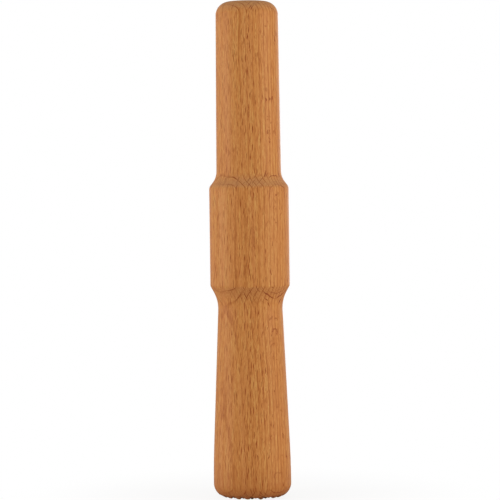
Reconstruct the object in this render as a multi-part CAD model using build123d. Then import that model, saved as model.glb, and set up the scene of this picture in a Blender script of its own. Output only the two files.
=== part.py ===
from build123d import *
import os
from math import atan2, ceil, degrees, hypot, radians, tan

# A kraut stomper turned from one billet of beech, in millimetres.
# It stands on its toothed foot at z = 0, and its axis is +Z.
# Diameters and lengths are measured to the sharp corners that the roundings then soften.

overall_length = 300.0

# Head, from the foot up to the neck
foot_diameter = 47.0
foot_corner_radius = 8.4
foot_band = 0.8  # short parallel band above the rounded corner
belly_blend = 22.0  # length over which the parallel foot turns into the flare
head_length = 119.4
neck_diameter = 38.6
neck_cove_radius = 21.0

# Collar, with a long lower shoulder and a short, steeper upper one
lower_shoulder_length = 8.8
collar_length = 59.7
collar_diameter = 48.2
collar_lower_edge_radius = 3.4
collar_upper_edge_radius = 4.4
upper_shoulder_length = 5.9
upper_cove_radius = 10.9

# Handle, a slim taper with a softly crowned end
handle_shoulder_diameter = 39.2
handle_end_diameter = 37.6
handle_end_radius = 7.6
handle_end_crown = 0.7

# Teeth of the tamping face: two sets of V grooves that cross at right angles
tooth_pitch = 5.9
tooth_land = 0.7  # flat tip left between two grooves
groove_angle = 90.0
grid_angle = -28.0  # of the first set, about the stomper's axis
cutter_overrun = 1.0

# Sizes that follow from the ones above
foot_radius = foot_diameter / 2
neck_radius = neck_diameter / 2
collar_radius = collar_diameter / 2
shoulder_radius = handle_shoulder_diameter / 2
end_radius = handle_end_diameter / 2
belly_height = foot_corner_radius + foot_band + belly_blend / 2
collar_bottom = head_length + lower_shoulder_length
collar_top = collar_bottom + collar_length
handle_bottom = collar_top + upper_shoulder_length
groove_half_width = (tooth_pitch - tooth_land) / 2
groove_depth = groove_half_width / tan(radians(groove_angle / 2))
grooves_each_side = ceil(foot_radius / tooth_pitch)


def turn_at(before, corner, after):
    """Angle in degrees by which the outline turns at a corner."""
    way_in = degrees(atan2(corner[1] - before[1], corner[0] - before[0]))
    way_out = degrees(atan2(after[1] - corner[1], after[0] - corner[0]))
    return abs((way_out - way_in + 180) % 360 - 180)


def radii_within_walls(points, radii):
    """The wanted radii of the inner points, less where two roundings would meet on a short wall."""
    turns = [turn_at(*points[i : i + 3]) for i in range(len(points) - 2)]
    reaches = [0.0, *(r * tan(radians(t / 2)) for r, t in zip(radii, turns)), 0.0]
    walls = [hypot(b[0] - a[0], b[1] - a[1]) for a, b in zip(points, points[1:])]
    shares = [min(1.0, 0.96 * w / max(a + b, 1e-9)) for w, a, b in zip(walls, reaches, reaches[1:])]
    return [r * min(shares[i], shares[i + 1]) for i, r in enumerate(radii)]


def outline_corners():
    """Corners of the turned outline as (radius, height), from the foot's centre to the handle's end."""
    return [
        (0, 0),
        (foot_radius, 0),
        (foot_radius, belly_height),
        (neck_radius, head_length),
        (collar_radius, collar_bottom),
        (collar_radius, collar_top),
        (shoulder_radius, handle_bottom),
        (end_radius, overall_length - handle_end_crown),
        (0, overall_length),
    ]


def outline_radii(points):
    """Rounding of each inner corner. The belly's radius follows from the length of its blend."""
    belly_radius = belly_blend / 2 / tan(radians(turn_at(*points[1:4]) / 2))
    wanted = [
        foot_corner_radius,
        belly_radius,
        neck_cove_radius,
        collar_lower_edge_radius,
        collar_upper_edge_radius,
        upper_cove_radius,
        handle_end_radius,
    ]
    return radii_within_walls(points, wanted)


def turned_body():
    """The billet as it comes off the lathe: one outline turned about the axis."""
    points = outline_corners()
    with BuildPart() as body:
        with BuildSketch(Plane.XZ) as outline:
            with BuildLine():
                Polyline(*points[:-1])
                TangentArc(points[-1], points[-2], tangent=(1, 0))
                Line(points[-1], points[0])
            make_face()
            for point, radius in zip(points[1:-1], outline_radii(points)):
                fillet(outline.vertices().sort_by_distance(point)[0], radius)
        revolve(axis=Axis.Z)
    return body.part


def groove_cutters(angle):
    """One set of parallel V cutters across the foot. The axis lies midway between two grooves."""
    with BuildPart() as cutters:
        with BuildSketch(Plane.XZ.rotated((0, 0, angle))):
            with GridLocations(tooth_pitch, 1, 2 * grooves_each_side, 1):
                Polygon(
                    (0, groove_depth),
                    (groove_half_width, 0),
                    (groove_half_width, -cutter_overrun),
                    (-groove_half_width, -cutter_overrun),
                    (-groove_half_width, 0),
                    align=None,
                )
        extrude(amount=foot_radius + cutter_overrun, both=True)
    return cutters.part


def beech_stomper():
    """The turned body with the teeth of its tamping face."""
    stomper = turned_body()
    for angle in (grid_angle, grid_angle + 90):
        stomper -= groove_cutters(angle)
    stomper.label = "beech_stomper"
    return stomper


os.makedirs("parts", exist_ok=True)
export_step(beech_stomper(), "parts/beech_stomper.step")
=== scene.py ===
"""A kraut stomper turned from one billet of beech, on a plain stage, built round its CAD frame.

Blender's objects and properties are in metres. The mesh and grain code works in millimetres.
The tool stands on its toothed foot at z = 0 with its axis on +Z, and is seen from -Y.
"""

from math import atan2, ceil, cos, degrees, hypot, pi, radians, sin, sqrt, tan

import bmesh
import bpy
import numpy as np
from mathutils import Matrix, Vector, geometry


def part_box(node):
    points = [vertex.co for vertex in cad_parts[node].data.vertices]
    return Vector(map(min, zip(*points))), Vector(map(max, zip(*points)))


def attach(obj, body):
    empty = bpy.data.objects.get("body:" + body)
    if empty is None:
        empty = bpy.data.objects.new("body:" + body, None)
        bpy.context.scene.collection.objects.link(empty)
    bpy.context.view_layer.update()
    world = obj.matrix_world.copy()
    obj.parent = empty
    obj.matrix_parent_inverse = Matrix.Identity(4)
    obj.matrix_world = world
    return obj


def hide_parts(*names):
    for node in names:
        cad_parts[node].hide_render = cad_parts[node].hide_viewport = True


bl_info = {
    "name": "Kraut stomper",
    "version": (1, 0, 0),
    "blender": (4, 5, 0),
    "location": "3D View > Sidebar > Stomper",
    "description": "Builds a turned beech kraut stomper and a plain stage round its CAD frame",
    "category": "Add Mesh",
}

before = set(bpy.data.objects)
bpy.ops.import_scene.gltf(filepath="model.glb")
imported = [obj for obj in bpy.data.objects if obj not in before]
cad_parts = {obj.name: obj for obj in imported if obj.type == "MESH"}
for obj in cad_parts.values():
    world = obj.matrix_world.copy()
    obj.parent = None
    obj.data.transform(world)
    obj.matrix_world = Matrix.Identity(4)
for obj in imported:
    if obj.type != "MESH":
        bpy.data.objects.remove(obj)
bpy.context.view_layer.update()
NODE = "beech_stomper"
FOOT_CORNER, END_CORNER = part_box(NODE)
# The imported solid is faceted, so its box is a hair narrower than its true circle and not quite even.
# The narrowest side keeps this model inside it.
COLLAR_WIDTH = 2 * min(-FOOT_CORNER.x, -FOOT_CORNER.y, END_CORNER.x, END_CORNER.y)

MM = 0.001
WHITE = (1.0, 1.0, 1.0, 1.0)

# Fineness of the mesh
SECTORS = 240  # round the axis
RING_GAP = 2.6  # mm between rings on the straight runs
ARC_STEP = 4.0  # degrees between rings on the roundings
CROWN_RINGS = 12  # across the handle's end
# Lines of the tooth grid from a groove's bottom to the middle of the land, as shares of half a pitch
GRID_SHARES = (0, 0.04, 0.10, 0.18, 0.27, 0.36, 0.45, 0.54, 0.63, 0.71, 0.79, 0.84, 0.88, 0.93, 1)
LINE_DIGITS = 5  # decimals of a grid line's place in mm, so that a line that two cells share is kept once
FIELD_MARGIN = 0.55  # mm from the grooves' depth up to the rim that closes the toothed field
GRID_CLEARANCE = 0.12  # mm at least between the grid's border and that rim
FIRST_RING_GAP = 0.2  # mm at least between that rim and the next ring
MERGE_DISTANCE = 1e-6  # mm, below which two points of the field's border count as one

# Shapes that are softer here than in the CAD solid, in mm
GROOVE_ROUND = 0.2  # how round the cutter leaves a groove's bottom
GROOVE_SINK = 0.05  # how much deeper a rounded groove goes, so that its flanks stay near a sharp one's
CROWN_FADE_START = 4.0  # below the rounding of the handle's end, where its crown fades in
CROWN_FADE = 6.0  # height over which it fades in

# Figure of the wood, in mm
PITH_DISTANCE = 110.0  # from the tool's axis to the middle of the tree
RING_PLACE = 19.8  # outer edge of one growth ring, from the tool's axis away from the pith
RING_WANDER = 1.6  # how far a ring strays from its circle
SWAY = 3.0  # how far the fibres wander from side to side
RAY_WAVER = 0.8  # how far a ray's outline wavers round the rings

# Blender's Mix node has several sockets of one name, so its colours are reached by number
MIX_A = 6
MIX_B = 7
MIX_RESULT = 2


def linear(code, alpha=1.0):
    """An sRGB hex colour as the linear colour that Blender's sockets take."""
    parts = [int(code[i : i + 2], 16) / 255 for i in (0, 2, 4)]
    return (*(c / 12.92 if c <= 0.04045 else ((c + 0.055) / 1.055) ** 2.4 for c in parts), alpha)


def length(name, size, description):
    """A length property, with its default in millimetres."""
    return bpy.props.FloatProperty(
        name=name,
        description=description,
        default=size * MM,
        min=0.0,
        unit="LENGTH",
        subtype="DISTANCE",
        precision=5,
    )


def angle(name, size, description):
    """An angle property, with its default in degrees."""
    return bpy.props.FloatProperty(
        name=name, description=description, default=radians(size), subtype="ANGLE"
    )


def power(name, size, description):
    """A light's power, with its default in watts."""
    return bpy.props.FloatProperty(
        name=name, description=description, default=size, min=0.0, subtype="POWER"
    )


def colour(name, code, description):
    """A colour property, with its default as an sRGB hex value."""
    return bpy.props.FloatVectorProperty(
        name=name,
        description=description,
        default=linear(code),
        size=4,
        min=0.0,
        max=1.0,
        subtype="COLOR",
    )


class StomperSizes(bpy.types.PropertyGroup):
    """Sizes of the turned body and its teeth.

    The length and the collar's width come from the frame. The others repeat the CAD source, and the teeth's
    wear is only here.
    """

    overall_length: length("Overall length", (END_CORNER.z - FOOT_CORNER.z) / MM, "Teeth to handle's end")
    foot_diameter: length("Foot diameter", 47.0, "Widest part of the head")
    foot_corner_radius: length("Foot corner radius", 8.4, "Rounding round the tamping face")
    foot_band: length("Foot band", 0.8, "Short parallel band above the rounded corner")
    belly_blend: length("Belly blend", 22.0, "Length over which the foot turns into the flare")
    head_length: length("Head length", 119.4, "From the teeth to the neck")
    neck_diameter: length("Neck diameter", 38.6, "Narrowest part of the head")
    neck_cove_radius: length("Neck cove radius", 21.0, "Hollow under the collar")
    lower_shoulder_length: length("Lower shoulder", 8.8, "Height of the slope from the neck to the collar")
    collar_length: length("Collar length", 59.7, "Height of the thick middle")
    collar_diameter: length("Collar diameter", COLLAR_WIDTH / MM, "Width of the thick middle")
    collar_lower_edge_radius: length("Collar lower edge", 3.4, "Rounding of the collar's lower edge")
    collar_upper_edge_radius: length("Collar upper edge", 4.4, "Rounding of the collar's upper edge")
    upper_shoulder_length: length("Upper shoulder", 5.9, "Height of the slope from the collar to the handle")
    upper_cove_radius: length("Upper cove radius", 10.9, "Hollow above the collar")
    handle_shoulder_diameter: length("Handle at the shoulder", 39.2, "Handle's width above the collar")
    handle_end_diameter: length("Handle at the end", 37.6, "Handle's width at its end")
    handle_end_radius: length("Handle end radius", 7.6, "Rounding of the handle's end")
    handle_end_crown: length("Handle end crown", 0.7, "Rise of the end's middle")
    tooth_pitch: length("Tooth pitch", 5.9, "From tooth to tooth")
    tooth_land: length("Tooth land", 0.7, "Flat tip of a tooth")
    tooth_wear: length("Tooth wear", 0.32, "How far a tooth's edges are worn round")
    grid_angle: angle("Grid angle", -28.0, "Turn of the tooth grid about the axis")


class BeechLook(bpy.types.PropertyGroup):
    """Colours and grain of the beech, with a painted sheen and painted shade on its cut ends and painted
    shade at its foot.
    """

    pale: colour("Pale wood", "C49350", "Early wood between the growth rings")
    middle: colour("Middle wood", "B7763B", "The overall tone")
    deep: colour("Deep wood", "93501E", "Late wood and dark fibres")
    rosy: colour("Rosy wood", "BE7C4A", "Pinkish streaks of steamed beech")
    ray_dark: colour("Dark rays", "7A2C02", "Ends of the rays, and ring lines across the fibres")
    # Painted sheen: cut fibres that face up get this paler, greyer colour for the light from above
    sheened_cut_ends: colour("End grain", "A57C58", "Cut fibres that face the handle's end, cut clean by the tool")
    # Painted shade: cut fibres that face down get this darker, redder colour for the weaker light from below
    shaded_cut_ends: colour("Torn grain", "A36A44", "Cut fibres that face the foot, which the tool tore a little")
    # Painted shade: darker, redder wood towards the foot, where the floor sends back less light
    foot_painted_shade: colour("Foot tint", "8A4418", "Darker, redder wood at the foot, which drinks more oil")
    ring_gap: length("Growth ring", 2.6, "Distance from one growth ring to the next")
    ray_width: length("Ray width", 0.35, "Thickness of a broad ray")
    ray_height: length("Ray height", 5.2, "Height of a broad ray along the grain")
    quarter_angle: angle("Quarter-sawn side", 46.0, "Where the ray flakes lie flat, from -Y towards +X")


class StageLook(bpy.types.PropertyGroup):
    """Floor, light and camera."""

    floor_colour: colour("Floor", "E4E2DE", "Plain pale floor")
    floor_size: length("Floor size", 6000.0, "Side of the square floor")
    camera_distance: length("Camera distance", 1330.0, "From the axis to the camera")
    camera_height: length("Camera height", 182.0, "Camera above the floor")
    aim_height: length("Aim height", 149.7, "Height at the picture's centre")
    aim_side: length("Aim to the side", 0.2, "How far the axis is left of the picture's centre")
    view_height: length("View height", 303.0, "What the picture shows at the axis, from bottom to top")
    camera_roll: angle("Camera roll", 0.72, "Lean of the tool to the left")
    key_power: power("Side lights", 15.4, "Power of the right one. The left one has a little less")
    fill_power: power("Front and back fill", 4.6, "Power of the front one. The back one has twice as much")
    surround: bpy.props.FloatProperty(
        name="Surround", description="Light from all round", default=0.50, min=0.0
    )


# Turned body


def turn_at(before, corner, after):
    """Signed angle in radians by which the outline turns at a corner."""
    way_in = atan2(corner[1] - before[1], corner[0] - before[0])
    way_out = atan2(after[1] - corner[1], after[0] - corner[0])
    return (way_out - way_in + pi) % (2 * pi) - pi


def arc_at(before, corner, after, radius):
    """Points of the rounding of one corner, both ends included."""
    turn = turn_at(before, corner, after)
    reach = radius * tan(abs(turn) / 2)
    way_in = (Vector(corner) - Vector(before)).normalized()
    inward = Vector((-way_in.y, way_in.x)) * (1 if turn > 0 else -1)
    start = Vector(corner) - way_in * reach
    centre = start + inward * radius
    steps = max(3, ceil(abs(degrees(turn)) / ARC_STEP))
    spokes = [Matrix.Rotation(turn * i / steps, 2) @ (start - centre) for i in range(steps + 1)]
    return [tuple(centre + spoke) for spoke in spokes]


def run_between(start, end):
    """Points that divide a straight run of the outline into steps of RING_GAP or less, its ends left out."""
    steps = max(1, ceil(hypot(end[0] - start[0], end[1] - start[1]) / RING_GAP))
    return [
        (start[0] + (end[0] - start[0]) * i / steps, start[1] + (end[1] - start[1]) * i / steps)
        for i in range(1, steps)
    ]


def outline_corners(sizes):
    """Corners of the turned outline as (radius, height) in mm, from the foot's centre to the handle's end."""
    foot = sizes.foot_diameter / 2 / MM
    neck = sizes.neck_diameter / 2 / MM
    collar = sizes.collar_diameter / 2 / MM
    shoulder = sizes.handle_shoulder_diameter / 2 / MM
    end = sizes.handle_end_diameter / 2 / MM
    belly = (sizes.foot_corner_radius + sizes.foot_band + sizes.belly_blend / 2) / MM
    head = sizes.head_length / MM
    collar_bottom = head + sizes.lower_shoulder_length / MM
    collar_top = collar_bottom + sizes.collar_length / MM
    handle_bottom = collar_top + sizes.upper_shoulder_length / MM
    top = sizes.overall_length / MM
    return [
        (0.0, 0.0),
        (foot, 0.0),
        (foot, belly),
        (neck, head),
        (collar, collar_bottom),
        (collar, collar_top),
        (shoulder, handle_bottom),
        (end, top),
        (0.0, top),
    ]


def outline_radii(sizes, corners):
    """Rounding of each inner corner in mm. The belly's radius follows from the length of its blend."""
    belly_radius = sizes.belly_blend / MM / 2 / tan(abs(turn_at(*corners[1:4])) / 2)
    return [
        sizes.foot_corner_radius / MM,
        belly_radius,
        sizes.neck_cove_radius / MM,
        sizes.collar_lower_edge_radius / MM,
        sizes.collar_upper_edge_radius / MM,
        sizes.upper_cove_radius / MM,
        sizes.handle_end_radius / MM,
    ]


def crown_drop(sizes, radius, height):
    """How far the crown of the handle's end lets a point of the outline down, in mm."""
    end = sizes.handle_end_diameter / 2 / MM
    start = (sizes.overall_length - sizes.handle_end_radius) / MM - CROWN_FADE_START
    share = min(1.0, max(0.0, (height - start) / CROWN_FADE))
    return sizes.handle_end_crown / MM * (radius / end) ** 2 * share


def turned_outline(sizes):
    """Outline of the body as (radius, height) in mm, from the foot's rounding to near the end's middle."""
    corners = outline_corners(sizes)
    points = []
    for i, radius in enumerate(outline_radii(sizes, corners)):
        arc = arc_at(*corners[i : i + 3], radius)
        if points:
            points += run_between(points[-1], arc[0])
        points += arc
    inner = points[-1][0]
    top = sizes.overall_length / MM
    points += [(inner * (1 - i / CROWN_RINGS), top) for i in range(1, CROWN_RINGS)]
    return [(radius, height - crown_drop(sizes, radius, height)) for radius, height in points]


# Toothed foot


def groove_depth(sizes):
    """Depth of a sharp groove in mm. Its walls stand at a right angle, so it is as deep as half its width."""
    return (sizes.tooth_pitch - sizes.tooth_land) / 2 / MM


def soft_top(a, b, softness):
    """The higher of two heights, with the edge where they meet rounded off."""
    return np.maximum(a, b) + np.maximum(softness - np.abs(a - b), 0.0) ** 2 / (4 * softness)


def foot_height(u, v, sizes):
    """Height of the tamping face in mm over a point of the tooth grid."""
    corner = sizes.foot_corner_radius / MM
    flat = sizes.foot_diameter / 2 / MM - corner
    past = np.clip(np.hypot(u, v) - flat, 0.0, corner)
    height = corner - np.sqrt(corner**2 - past**2)
    pitch = sizes.tooth_pitch / MM
    for across in (u, v):
        from_bottom = np.mod(across, pitch) - pitch / 2
        groove = groove_depth(sizes) + GROOVE_SINK - np.sqrt(from_bottom**2 + GROOVE_ROUND**2)
        height = soft_top(height, groove, sizes.tooth_wear / MM)
    return height


def grid_lines(sizes):
    """Places of the tooth grid's lines in mm, close together at the lands' edges and the grooves' bottoms."""
    pitch = sizes.tooth_pitch / MM
    reach = ceil(sizes.foot_diameter / 2 / MM / pitch)
    lines = set()
    for i in range(-reach, reach):
        bottom = (i + 0.5) * pitch
        for share in GRID_SHARES:
            lines.add(round(bottom - share * pitch / 2, LINE_DIGITS))
            lines.add(round(bottom + share * pitch / 2, LINE_DIGITS))
    return np.array(sorted(lines))


def cell_triangles(cells, number, height, middle_height):
    """Two triangles for each cell, split along the diagonal that lies nearer to the surface."""
    one_way = np.abs((height[:-1, :-1] + height[1:, 1:]) / 2 - middle_height)
    other_way = np.abs((height[1:, :-1] + height[:-1, 1:]) / 2 - middle_height)
    triangles = []
    for i, j in zip(*np.nonzero(cells)):
        a, b, c, d = number[i, j], number[i + 1, j], number[i + 1, j + 1], number[i, j + 1]
        if one_way[i, j] <= other_way[i, j]:
            triangles += [(a, c, b), (a, d, c)]
        else:
            triangles += [(a, d, b), (b, d, c)]
    return triangles


def border_edges(cells, number):
    """Edges of the grid's stepped border, as pairs of vertex numbers."""
    edges = []
    for i, j in zip(*np.nonzero(cells)):
        for neighbour, start, end in (
            ((i - 1, j), (i, j), (i, j + 1)),
            ((i + 1, j), (i + 1, j), (i + 1, j + 1)),
            ((i, j - 1), (i, j), (i + 1, j)),
            ((i, j + 1), (i, j + 1), (i + 1, j + 1)),
        ):
            if not cells[neighbour]:
                edges.append((number[start], number[end]))
    return edges


def rim_triangles(rim, border, vertices, is_covered):
    """Triangles between the round rim and the grid's border.

    The rim's points are numbered first and the grid's vertices after them. is_covered tells whether the grid
    already covers a point.
    """
    ends = sorted({end for edge in border for end in edge})
    place = {end: len(rim) + i for i, end in enumerate(ends)}
    points = [Vector(point) for point in rim] + [Vector(vertices[end - len(rim)][:2]) for end in ends]
    edges = [(i, (i + 1) % len(rim)) for i in range(len(rim))]
    edges += [(place[start], place[end]) for start, end in border]
    whole_hull = 0  # Blender's number for triangles all over the points' hull
    found = geometry.delaunay_2d_cdt(points, edges, [], whole_hull, MERGE_DISTANCE)
    corners, faces, sources = found[0], found[2], found[3]
    numbers = [*range(len(rim)), *ends]
    triangles = []
    for face in faces:
        middle = sum((corners[k] for k in face), Vector((0.0, 0.0))) / 3
        if not is_covered(middle):
            triangles.append(tuple(numbers[sources[k][0]] for k in face))
    return triangles


def toothed_face(sizes, rim):
    """Vertices and triangles of the tamping face inside a rim of (x, y) points, which are numbered first."""
    lines = grid_lines(sizes)
    u, v = np.meshgrid(lines, lines, indexing="ij")
    height = foot_height(u, v, sizes)
    inside = np.hypot(u, v) < hypot(*rim[0]) - GRID_CLEARANCE
    cells = inside[:-1, :-1] & inside[1:, :-1] & inside[1:, 1:] & inside[:-1, 1:]
    used = np.zeros_like(inside)
    for corner in (used[:-1, :-1], used[1:, :-1], used[1:, 1:], used[:-1, 1:]):
        corner |= cells
    number = np.full(u.shape, -1)
    number[used] = np.arange(used.sum()) + len(rim)

    turn_cos = cos(sizes.grid_angle)
    turn_sin = sin(sizes.grid_angle)
    x = u * turn_cos - v * turn_sin
    y = u * turn_sin + v * turn_cos
    vertices = np.stack([x[used], y[used], height[used]], axis=1)

    def is_covered(point):
        """Whether a point in the frame lies over one of the grid's cells."""
        i = np.searchsorted(lines, point.x * turn_cos + point.y * turn_sin) - 1
        j = np.searchsorted(lines, point.y * turn_cos - point.x * turn_sin) - 1
        return cells[i, j]

    middles = (lines[:-1] + lines[1:]) / 2
    middle_height = foot_height(*np.meshgrid(middles, middles, indexing="ij"), sizes)
    triangles = cell_triangles(cells, number, height, middle_height)
    triangles += rim_triangles(rim, border_edges(cells, number), vertices, is_covered)
    return vertices, triangles


def stomper_mesh(sizes):
    """The whole tool as one closed mesh in metres."""
    corner = sizes.foot_corner_radius / MM
    flat = sizes.foot_diameter / 2 / MM - corner
    rim_height = groove_depth(sizes) + FIELD_MARGIN
    rim_radius = flat + sqrt(corner**2 - (corner - rim_height) ** 2)
    turns = [2 * pi * i / SECTORS for i in range(SECTORS)]
    rim = [(rim_radius * cos(turn), rim_radius * sin(turn)) for turn in turns]
    field, faces = toothed_face(sizes, rim)
    vertices = [(x, y, rim_height) for x, y in rim] + [tuple(point) for point in field]
    below = list(range(SECTORS))
    for radius, height in turned_outline(sizes):
        if height > rim_height + FIRST_RING_GAP:
            above = list(range(len(vertices), len(vertices) + SECTORS))
            vertices += [(radius * cos(turn), radius * sin(turn), height) for turn in turns]
            for i in range(SECTORS):
                after = (i + 1) % SECTORS
                faces.append((below[i], below[after], above[after], above[i]))
            below = above
    vertices.append((0.0, 0.0, sizes.overall_length / MM))
    faces += [(below[i], below[(i + 1) % SECTORS], len(vertices) - 1) for i in range(SECTORS)]

    mesh = bpy.data.meshes.new(NODE)
    mesh.from_pydata([(x * MM, y * MM, z * MM) for x, y, z in vertices], [], faces)
    work = bmesh.new()
    work.from_mesh(mesh)
    bmesh.ops.recalc_face_normals(work, faces=work.faces)
    loose = [edge for edge in work.edges if len(edge.link_faces) != 2]
    if loose:
        raise RuntimeError(f"the stomper's mesh isn't closed: {len(loose)} open edges")
    work.to_mesh(mesh)
    work.free()
    mesh.shade_smooth()
    return mesh


# Materials


def add(tree, kind, inputs=None, **settings):
    """Adds one node with its settings, values and links."""
    node = tree.nodes.new(kind)
    for name, value in settings.items():
        setattr(node, name, value)
    for socket, value in (inputs or {}).items():
        if isinstance(value, bpy.types.NodeSocket):
            tree.links.new(value, node.inputs[socket])
        else:
            node.inputs[socket].default_value = value
    return node


def new_material(name):
    """An empty node material with its output."""
    material = bpy.data.materials.new(name)
    material.use_nodes = True
    material.node_tree.nodes.clear()
    return material, material.node_tree, add(material.node_tree, "ShaderNodeOutputMaterial")


def set_ramp(node, stops):
    """Gives a colour ramp its stops, as (place, colour) pairs in rising order."""
    elements = node.color_ramp.elements
    for place, _ in stops[1:-1]:
        elements.new(place)
    for element, (place, shade) in zip(elements, stops):
        element.position = place
        element.color = shade


def greys(*stops):
    """Stops of a colour ramp from (place, level) pairs."""
    return [(place, (level, level, level, 1.0)) for place, level in stops]


def grain_noise(tree, grain, across, along, detail=2.0, seed=0.0, roughness=0.5):
    """Noise drawn out along the grain: its size across and along the fibres in mm.

    seed moves it by a different step on each axis, so that no two noises share a figure.
    """
    scaled = add(
        tree,
        "ShaderNodeVectorMath",
        {0: grain, 1: (1 / across, 1 / across, 1 / along), 2: (seed, seed * 1.7, seed * 0.6)},
        operation="MULTIPLY_ADD",
    )
    return add(
        tree,
        "ShaderNodeTexNoise",
        {"Vector": scaled.outputs[0], "Scale": 1.0, "Detail": detail, "Roughness": roughness},
    )


def grain_space(tree, place, look):
    """The wood's own axes in mm: X runs away from the pith, Y round the rings and Z along the fibres."""
    straight = add(
        tree,
        "ShaderNodeMapping",
        {
            "Vector": place.outputs["Object"],
            "Rotation": (0.0, 0.0, pi - look.quarter_angle),
            "Scale": (1 / MM, 1 / MM, 1 / MM),
        },
    )
    sway = grain_noise(tree, straight.outputs[0], 30.0, 70.0, detail=1.0, seed=3.1)
    bent = add(
        tree,
        "ShaderNodeVectorMath",
        {0: sway.outputs["Color"], 1: (SWAY, SWAY, 0.0), 2: straight.outputs[0]},
        operation="MULTIPLY_ADD",
    )
    centred = add(
        tree,
        "ShaderNodeVectorMath",
        {0: bent.outputs[0], 1: (SWAY / 2, SWAY / 2, 0.0)},
        operation="SUBTRACT",
    )
    return centred.outputs[0]


def growth_rings(tree, grain, look):
    """Place within a growth ring, from 0 at its inner edge to 1 at its outer edge."""
    from_pith = add(
        tree,
        "ShaderNodeVectorMath",
        {0: grain, 1: (1.0, 1.0, 0.0), 2: (PITH_DISTANCE, 0.0, 0.0)},
        operation="MULTIPLY_ADD",
    )
    distance = add(tree, "ShaderNodeVectorMath", {0: from_pith.outputs[0]}, operation="LENGTH")
    uneven = grain_noise(tree, grain, 9.0, 220.0, detail=0.0, seed=7.7)
    wandering = add(
        tree,
        "ShaderNodeMath",
        {0: uneven.outputs[0], 1: RING_WANDER, 2: distance.outputs["Value"]},
        operation="MULTIPLY_ADD",
    )
    ring_gap = look.ring_gap / MM
    start = PITH_DISTANCE + RING_PLACE + RING_WANDER / 2
    count = add(
        tree,
        "ShaderNodeMath",
        {0: wandering.outputs[0], 1: 1 / ring_gap, 2: -start / ring_gap},
        operation="MULTIPLY_ADD",
    )
    return add(tree, "ShaderNodeMath", {0: count.outputs[0]}, operation="FRACT").outputs[0]


def ring_lines(tree, grain, ring, towards_quarter, quarter, along):
    """Mask of the thin dark lines that the rings draw where fibres are cut, in the coves and on the ends."""
    line = add(tree, "ShaderNodeValToRGB", {0: ring})
    set_ramp(line, greys((0.0, 0.7), (0.04, 0.0), (0.90, 0.0), (0.95, 1.0), (1.0, 1.0)))
    weight = add(
        tree,
        "ShaderNodeMapRange",
        {"Value": along, "From Min": 0.10, "From Max": 0.42, "To Max": 0.85},
    )
    # The lines come and go in patches, except on the quarter-sawn sides
    patches = grain_noise(tree, grain, 4.0, 3.0, detail=1.0, seed=21.3)
    patchy = add(
        tree,
        "ShaderNodeMapRange",
        {"Value": patches.outputs[0], "From Min": 0.34, "From Max": 0.52},
    )
    kept = add(tree, "ShaderNodeMapRange", {"Value": quarter, "From Min": 0.80, "From Max": 0.95})
    clear = add(tree, "ShaderNodeMath", {0: patchy.outputs[0], 1: kept.outputs[0]}, operation="MAXIMUM")
    # The tool cuts one flank of each arch with the fibres and leaves it closed, and tears the other a little
    side = add(tree, "ShaderNodeMapRange", {"Value": towards_quarter, "From Min": -1.0, "From Max": 1.0})
    torn = add(tree, "ShaderNodeValToRGB", {0: side.outputs[0]})
    set_ramp(torn, greys((0.0, 1.0), (0.28, 1.0), (0.35, 0.1), (0.53, 0.1), (0.65, 1.0), (1.0, 1.0)))
    mask = line.outputs[0]
    for share in (weight, clear, torn):
        mask = add(tree, "ShaderNodeMath", {0: mask, 1: share.outputs[0]}, operation="MULTIPLY").outputs[0]
    return mask


def ray_layer(tree, grain, narrow, gaps, width, height, depth, present, seed):
    """Mask of the rays, spindles thin round the rings, tall along the grain and deep towards the pith.

    gaps are the mean distances between rays in mm: radial, tangential, along. present is the share of them
    that shows, and narrow divides their thickness.
    """
    scaled = add(
        tree,
        "ShaderNodeVectorMath",
        {0: grain, 1: tuple(1 / gap for gap in gaps), 2: (seed, seed, seed)},
        operation="MULTIPLY_ADD",
    )
    cell = add(tree, "ShaderNodeTexVoronoi", {"Vector": scaled.outputs[0], "Scale": 1.0, "Randomness": 1.0})
    chance = add(tree, "ShaderNodeSeparateColor", {0: cell.outputs["Color"]})
    away = add(
        tree,
        "ShaderNodeVectorMath",
        {0: scaled.outputs[0], 1: cell.outputs["Position"]},
        operation="SUBTRACT",
    )
    # In shares of half a ray, whose own size is 0.4 to 1.3 times the common one
    shares = tuple(gap / size * 2 for gap, size in zip(gaps, (depth, width, height)))
    shape = add(tree, "ShaderNodeVectorMath", {0: away.outputs[0], 1: shares}, operation="MULTIPLY")
    size = add(tree, "ShaderNodeMapRange", {"Value": chance.outputs[0], "To Min": 0.40, "To Max": 1.30})
    inverse = add(tree, "ShaderNodeMath", {0: 1.0, 1: size.outputs[0]}, operation="DIVIDE")
    sized = add(
        tree,
        "ShaderNodeVectorMath",
        {0: shape.outputs[0], "Scale": inverse.outputs[0]},
        operation="SCALE",
    )
    radial, tangential, upright = add(tree, "ShaderNodeSeparateXYZ", {0: sized.outputs[0]}).outputs
    side = add(tree, "ShaderNodeMath", {0: tangential}, operation="ABSOLUTE")
    reach = add(tree, "ShaderNodeMath", {0: side.outputs[0], 1: narrow}, operation="MULTIPLY")
    for part in (upright, radial):
        reach = add(
            tree, "ShaderNodeMath", {0: part, 1: part, 2: reach.outputs[0]}, operation="MULTIPLY_ADD"
        )
    mask = add(
        tree,
        "ShaderNodeMapRange",
        {"Value": reach.outputs[0], "From Min": 1.06, "From Max": 0.72},
        interpolation_type="SMOOTHSTEP",
    )
    here = add(
        tree,
        "ShaderNodeMapRange",
        {"Value": chance.outputs[1], "From Min": 1.0 - present, "From Max": 1.15 - present},
    )
    shown = add(tree, "ShaderNodeMath", {0: mask.outputs[0], 1: here.outputs[0]}, operation="MULTIPLY")
    return shown.outputs[0]


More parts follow.
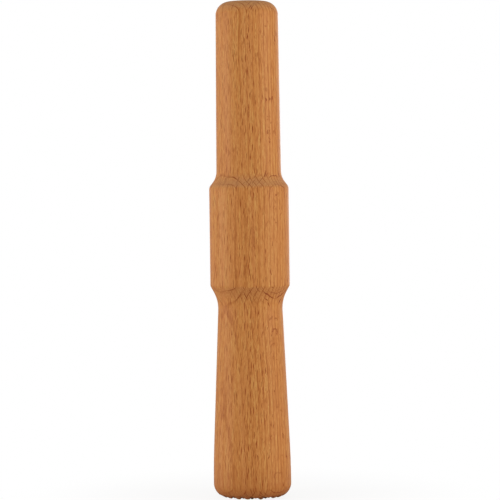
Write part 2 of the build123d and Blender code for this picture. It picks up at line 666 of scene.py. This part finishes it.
def ray_flecks(tree, grain, quarter, along, look):
    """Mask of the rays, by how dark each kind is.

    The fine ones are 0.1 mm thick in the wood and are drawn 0.22 mm thick so that they show.
    """
    # Where the surface runs along the rays, thick ones would show as wide patches, so they are thinner there
    lengthwise = add(tree, "ShaderNodeMath", {0: quarter, 1: along}, operation="SUBTRACT")
    slimming = add(
        tree,
        "ShaderNodeMapRange",
        {"Value": lengthwise.outputs[0], "From Min": 0.76, "From Max": 0.99, "To Min": 1.0, "To Max": 2.6},
    )
    waver = grain_noise(tree, grain, 2.2, 5.0, detail=1.0, seed=18.2)
    wavering = add(
        tree,
        "ShaderNodeVectorMath",
        {0: waver.outputs["Color"], 1: (0.0, RAY_WAVER, 0.0), 2: grain},
        operation="MULTIPLY_ADD",
    )
    common = (tree, wavering.outputs[0], slimming.outputs[0])
    broad = ray_layer(
        *common,
        gaps=(34.0, 1.35, 6.2),
        width=look.ray_width / MM,
        height=look.ray_height / MM,
        depth=60.0,
        present=0.85,
        seed=2.11,
    )
    slim = ray_layer(
        *common, gaps=(20.0, 1.0, 4.0), width=0.25, height=3.4, depth=34.0, present=0.8, seed=2.83
    )
    fine = ray_layer(
        *common, gaps=(9.0, 0.8, 2.0), width=0.22, height=1.4, depth=16.0, present=0.75, seed=4.61
    )
    # The broad rays are a little fainter as flakes, and darker where their cells are cut across
    flake_depth = add(
        tree,
        "ShaderNodeMapRange",
        {"Value": quarter, "From Min": 0.90, "From Max": 1.0, "To Min": 0.77, "To Max": 0.72},
    )
    broad_depth = add(
        tree, "ShaderNodeMath", {0: along, 1: 0.5, 2: flake_depth.outputs[0]}, operation="MULTIPLY_ADD"
    )
    flecks = 0.0
    for layer, weight in ((broad, broad_depth.outputs[0]), (slim, 0.43), (fine, 0.28)):
        flecks = add(
            tree,
            "ShaderNodeMath",
            {0: layer, 1: weight, 2: flecks},
            operation="MULTIPLY_ADD",
            use_clamp=True,
        ).outputs[0]
    return flecks


def plain_wood(tree, place, grain, ring, quarter, streak, fibre, look):
    """Colour of the wood between its rays: late wood, soft bands, streaks and fibres, with a rosy drift."""
    late = add(tree, "ShaderNodeValToRGB", {0: ring})
    set_ramp(late, greys((0.0, 0.45), (0.05, 0.10), (0.50, 0.16), (0.87, 0.36), (0.94, 1.0), (1.0, 0.9)))
    late_weight = add(
        tree,
        "ShaderNodeMapRange",
        {"Value": quarter, "From Min": 0.72, "From Max": 1.0, "To Min": 0.28, "To Max": 0.46},
    )
    band = grain_noise(tree, grain, 11.0, 190.0, detail=1.0, seed=1.3).outputs[0]
    grit = grain_noise(tree, grain, 0.5, 2.8, detail=1.0, seed=15.6).outputs[0]
    tone = -0.54
    for source, weight in (
        (late.outputs[0], late_weight.outputs[0]),
        (band, 0.17),
        (streak, 0.38),
        (fibre, 0.88),
        (grit, 0.48),
    ):
        tone = add(
            tree, "ShaderNodeMath", {0: source, 1: weight, 2: tone}, operation="MULTIPLY_ADD"
        ).outputs[0]
    wood = add(tree, "ShaderNodeValToRGB", {0: tone})
    set_ramp(wood, [(0.12, look.pale), (0.5, look.middle), (0.92, look.deep)])

    # Steamed beech drifts from rosy to golden across a billet
    sides = add(tree, "ShaderNodeSeparateXYZ", {0: place.outputs["Object"]})
    blush = grain_noise(tree, grain, 3.4, 90.0, detail=1.0, seed=12.9)
    drift = add(
        tree,
        "ShaderNodeMath",
        {0: sides.outputs[0], 1: -7.0, 2: blush.outputs[0]},
        operation="MULTIPLY_ADD",
    )
    rosiness = add(
        tree,
        "ShaderNodeMapRange",
        {"Value": drift.outputs[0], "From Min": 0.48, "From Max": 0.80, "To Max": 0.3},
    )
    return add(
        tree,
        "ShaderNodeMix",
        {"Factor": rosiness.outputs[0], MIX_A: wood.outputs[0], MIX_B: look.rosy},
        data_type="RGBA",
    ).outputs[MIX_RESULT]


def surface_facing(tree, place, look):
    """How far the surface faces the quarter-sawn side and the handle's end, each from -1 to 1."""
    quarter_way = (sin(look.quarter_angle), -cos(look.quarter_angle), 0.0)
    towards_quarter = add(
        tree,
        "ShaderNodeVectorMath",
        {0: place.outputs["Normal"], 1: quarter_way},
        operation="DOT_PRODUCT",
    )
    parts = add(tree, "ShaderNodeSeparateXYZ", {0: place.outputs["Normal"]})
    return towards_quarter.outputs["Value"], parts.outputs[2]


def cut_fibres(tree, upwards, along, look):
    """Share and colour of the cut ends of fibres, which drink the light.

    Those that face the handle's end are paler and greyer, a painted sheen of the light from above. Those that
    face the foot are darker and redder, painted shade.
    """
    share = add(
        tree,
        "ShaderNodeMapRange",
        {"Value": along, "From Min": 0.12, "From Max": 0.75, "To Max": 0.5},
    )
    # Which way the cut fibres face: up takes the painted sheen colour, down the painted shade colour
    clean = add(tree, "ShaderNodeMapRange", {"Value": upwards, "From Min": -0.1, "From Max": 0.1})
    wood = add(
        tree,
        "ShaderNodeMix",
        {"Factor": clean.outputs[0], MIX_A: look.shaded_cut_ends, MIX_B: look.sheened_cut_ends},
        data_type="RGBA",
    )
    return share.outputs[0], wood.outputs[MIX_RESULT]


def turned_beech(look):
    """Beech turned along its grain and sanded fine: a dull warm sheen over straight fibres and dark flecks.

    The figure is solid, so every cut shows what a real billet would: spindles on the flat-sawn sides, flakes
    and straight ring lines on the quarter-sawn ones, zigzags in the coves and arcs on the ends.
    """
    material, tree, output = new_material("turned_sanded_beech")
    place = add(tree, "ShaderNodeTexCoord")
    grain = grain_space(tree, place, look)
    ring = growth_rings(tree, grain, look)
    # Beech's vessels are 0.07 mm across, so they are drawn as coarser fibres
    streak = grain_noise(tree, grain, 1.5, 60.0, detail=2.0, seed=5.2, roughness=0.6).outputs[0]
    fibre = grain_noise(tree, grain, 0.5, 10.0, detail=2.0, seed=9.4, roughness=0.6).outputs[0]

    # How far the surface is quarter-sawn, and how far it cuts across the fibres
    towards_quarter, upwards = surface_facing(tree, place, look)
    quarter = add(tree, "ShaderNodeMath", {0: towards_quarter}, operation="ABSOLUTE").outputs[0]
    along = add(tree, "ShaderNodeMath", {0: upwards}, operation="ABSOLUTE").outputs[0]

    # Sanding closes the flat parts of both ends, so the figure is fainter there than on their roundings
    closed = add(
        tree,
        "ShaderNodeMapRange",
        {"Value": along, "From Min": 0.72, "From Max": 0.98, "To Min": 1.0, "To Max": 0.4},
    )
    lines = ring_lines(tree, grain, ring, towards_quarter, quarter, along)
    line_share = add(tree, "ShaderNodeMath", {0: lines, 1: closed.outputs[0]}, operation="MULTIPLY")
    flecks = ray_flecks(tree, grain, quarter, along, look)
    faint = add(
        tree,
        "ShaderNodeMapRange",
        {"Value": quarter, "From Min": 0.08, "From Max": 0.45, "To Min": 0.90, "To Max": 1.0},
    )
    toned = add(tree, "ShaderNodeMath", {0: flecks, 1: faint.outputs[0]}, operation="MULTIPLY")
    fleck_share = add(
        tree, "ShaderNodeMath", {0: toned.outputs[0], 1: closed.outputs[0]}, operation="MULTIPLY"
    )

    # The cut fibres' colour holds a painted sheen where they face up and painted shade where they face down
    cut_share, cut_wood = cut_fibres(tree, upwards, along, look)
    sides = add(tree, "ShaderNodeSeparateXYZ", {0: place.outputs["Object"]})
    # Painted shade: the wood turns darker and redder from 22 mm above the floor down to 3 mm
    foot_shade_share = add(
        tree,
        "ShaderNodeMapRange",
        {"Value": sides.outputs[2], "From Min": 22 * MM, "From Max": 3 * MM, "To Max": 0.34},
    )
    base = plain_wood(tree, place, grain, ring, quarter, streak, fibre, look)
    for share, layer in (
        (fleck_share.outputs[0], look.ray_dark),
        (cut_share, cut_wood),
        (line_share.outputs[0], look.ray_dark),
        (foot_shade_share.outputs[0], look.foot_painted_shade),
    ):
        mixed = add(tree, "ShaderNodeMix", {"Factor": share, MIX_A: base, MIX_B: layer}, data_type="RGBA")
        base = mixed.outputs[MIX_RESULT]

    # Sanding leaves the fibres about 0.01 mm uneven and the rays a little lower
    relief = add(tree, "ShaderNodeMath", {0: flecks, 1: -0.6, 2: fibre}, operation="MULTIPLY_ADD")
    bump = add(
        tree,
        "ShaderNodeBump",
        {"Strength": 0.5, "Distance": 0.05 * MM, "Height": relief.outputs[0]},
    )
    # Cut ends of fibres soak up the finish and stay matt
    gloss = add(tree, "ShaderNodeMapRange", {"Value": streak, "To Min": 0.44, "To Max": 0.60})
    matt = add(
        tree,
        "ShaderNodeMath",
        {0: along, 1: 0.4, 2: gloss.outputs[0]},
        operation="MULTIPLY_ADD",
        use_clamp=True,
    )
    # Typical of oiled wood, with a low specular level for the dull sheen that fine sanding leaves
    shader = add(
        tree,
        "ShaderNodeBsdfPrincipled",
        {
            "Base Color": base,
            "Roughness": matt.outputs[0],
            "IOR": 1.45,
            "Specular IOR Level": 0.16,
            "Normal": bump.outputs[0],
        },
    )
    tree.links.new(shader.outputs[0], output.inputs["Surface"])
    return material


def pale_floor(look):
    """Matt painted board: even and pale, with the tool's soft shadow. Away from the tool it turns white."""
    material, tree, output = new_material("matt_painted_board")
    paint = add(
        tree,
        "ShaderNodeBsdfPrincipled",
        {"Base Color": look.floor_colour, "Roughness": 0.9, "Specular IOR Level": 0.0},
    )
    white = add(tree, "ShaderNodeEmission", {"Color": WHITE, "Strength": 1.0})
    place = add(tree, "ShaderNodeTexCoord")
    away = add(tree, "ShaderNodeVectorMath", {0: place.outputs["Object"]}, operation="LENGTH")
    whiteness = add(
        tree,
        "ShaderNodeMapRange",
        {"Value": away.outputs["Value"], "From Min": 22 * MM, "From Max": 160 * MM, "To Min": 0.88},
        interpolation_type="SMOOTHSTEP",
    )
    path = add(tree, "ShaderNodeLightPath")
    seen = add(
        tree,
        "ShaderNodeMath",
        {0: path.outputs["Is Camera Ray"], 1: whiteness.outputs[0]},
        operation="MULTIPLY",
    )
    shown = add(
        tree, "ShaderNodeMixShader", {0: seen.outputs[0], 1: paint.outputs[0], 2: white.outputs[0]}
    )
    tree.links.new(shown.outputs[0], output.inputs["Surface"])
    return material


# Stage


def add_floor(scene, look):
    """Lays the square floor."""
    half = look.floor_size / 2
    corners = [(-half, -half, 0), (half, -half, 0), (half, half, 0), (-half, half, 0)]
    sheet = bpy.data.meshes.new("pale_floor")
    sheet.from_pydata(corners, [], [(0, 1, 2, 3)])
    sheet.materials.append(pale_floor(look))
    floor = bpy.data.objects.new("pale_floor", sheet)
    scene.collection.objects.link(floor)


def add_lights(scene, look):
    """Hangs four soft area lights round the tool, all turned to its middle."""
    tool_middle = Vector((0.0, 0.0, 0.15))
    light_height = 1.0
    # Each light's name, power in watts, and place and width in metres
    for name, watts, place, light_width in (
        ("soft_light_left", look.key_power * 0.95, (-1.40, -0.20, 0.25), 0.8),
        ("soft_light_right", look.key_power, (1.30, -0.55, 0.25), 0.9),
        ("front_fill", look.fill_power, (0.0, -1.6, 0.35), 1.0),
        ("back_fill", look.fill_power * 2, (0.3, 1.5, 0.35), 1.2),
    ):
        lamp = bpy.data.lights.new(name, "AREA")
        lamp.shape = "RECTANGLE"
        lamp.size = light_width
        lamp.size_y = light_height
        lamp.energy = watts
        light = bpy.data.objects.new(name, lamp)
        light.location = place
        light.rotation_euler = (tool_middle - Vector(place)).to_track_quat("-Z", "Y").to_euler()
        scene.collection.objects.link(light)


def add_surround(scene, look):
    """Puts an even light all round, which the camera and reflections see as plain white."""
    world = bpy.data.worlds.new("white_surround")
    scene.world = world
    world.use_nodes = True
    tree = world.node_tree
    tree.nodes.clear()
    path = add(tree, "ShaderNodeLightPath")
    seen = path.outputs["Is Camera Ray"]
    for kind in ("Is Glossy Ray", "Is Transmission Ray"):
        either = add(tree, "ShaderNodeMath", {0: seen, 1: path.outputs[kind]}, operation="MAXIMUM")
        seen = either.outputs[0]
    strength = add(tree, "ShaderNodeMapRange", {"Value": seen, "To Min": look.surround, "To Max": 1.0})
    air = add(tree, "ShaderNodeBackground", {"Color": WHITE, "Strength": strength.outputs[0]})
    add(tree, "ShaderNodeOutputWorld", {"Surface": air.outputs[0]})


def add_camera(scene, look):
    """Places the camera at the photograph's viewing angle and framing."""
    camera = bpy.data.objects.new("camera", bpy.data.cameras.new("camera"))
    scene.collection.objects.link(camera)
    camera.location = (look.aim_side, -look.camera_distance, look.camera_height)
    sight = Vector((look.aim_side, 0.0, look.aim_height)) - camera.location
    level = sight.to_track_quat("-Z", "Y").to_matrix().to_4x4()
    camera.rotation_euler = (level @ Matrix.Rotation(-look.camera_roll, 4, "Z")).to_euler()
    camera.data.sensor_width = 36.0
    camera.data.lens = camera.data.sensor_width * sight.length / look.view_height
    camera.data.dof.use_dof = False
    scene.camera = camera


# Operators and panel


class STOMPER_OT_beech_stomper(bpy.types.Operator):
    """Turns the stomper from one billet of beech and cuts the teeth of its foot"""

    bl_idname = "stomper.beech_stomper"
    bl_label = "Beech stomper"

    def execute(self, context):
        piece = bpy.data.objects.new("turned_beech_stomper", stomper_mesh(context.scene.stomper_sizes))
        context.scene.collection.objects.link(piece)
        piece.data.materials.append(turned_beech(context.scene.beech_look))
        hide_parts(NODE)
        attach(piece, "root")
        return {"FINISHED"}


class STOMPER_OT_stage(bpy.types.Operator):
    """Sets up the floor, the soft lights, the white surround and the camera"""

    bl_idname = "stomper.stage"
    bl_label = "Stage"

    def execute(self, context):
        scene = context.scene
        for add_part in (add_floor, add_lights, add_surround, add_camera):
            add_part(scene, scene.stage_look)
        scene.view_settings.view_transform = "Standard"
        return {"FINISHED"}


class STOMPER_PT_panel(bpy.types.Panel):
    """Sizes, colours and stage of the stomper"""

    bl_idname = "STOMPER_PT_panel"
    bl_label = "Kraut stomper"
    bl_space_type = "VIEW_3D"
    bl_region_type = "UI"
    bl_category = "Stomper"

    def draw(self, context):
        scene = context.scene
        for operator, groups in (
            (STOMPER_OT_beech_stomper, (scene.stomper_sizes, scene.beech_look)),
            (STOMPER_OT_stage, (scene.stage_look,)),
        ):
            box = self.layout.box()
            for group in groups:
                for name in group.bl_rna.properties.keys():
                    if name not in ("rna_type", "name"):
                        box.prop(group, name)
            box.operator(operator.bl_idname)


CLASSES = (
    StomperSizes,
    BeechLook,
    StageLook,
    STOMPER_OT_beech_stomper,
    STOMPER_OT_stage,
    STOMPER_PT_panel,
)


def register():
    """Registers the classes and hangs their settings on the scene."""
    for each in CLASSES:
        bpy.utils.register_class(each)
    bpy.types.Scene.stomper_sizes = bpy.props.PointerProperty(type=StomperSizes)
    bpy.types.Scene.beech_look = bpy.props.PointerProperty(type=BeechLook)
    bpy.types.Scene.stage_look = bpy.props.PointerProperty(type=StageLook)


def unregister():
    """Takes the settings and the classes away again."""
    del bpy.types.Scene.stomper_sizes
    del bpy.types.Scene.beech_look
    del bpy.types.Scene.stage_look
    for each in reversed(CLASSES):
        bpy.utils.unregister_class(each)


def main():
    """Builds the scene."""
    register()
    bpy.ops.stomper.beech_stomper()
    bpy.ops.stomper.stage()


if __name__ == "__main__":
    main()
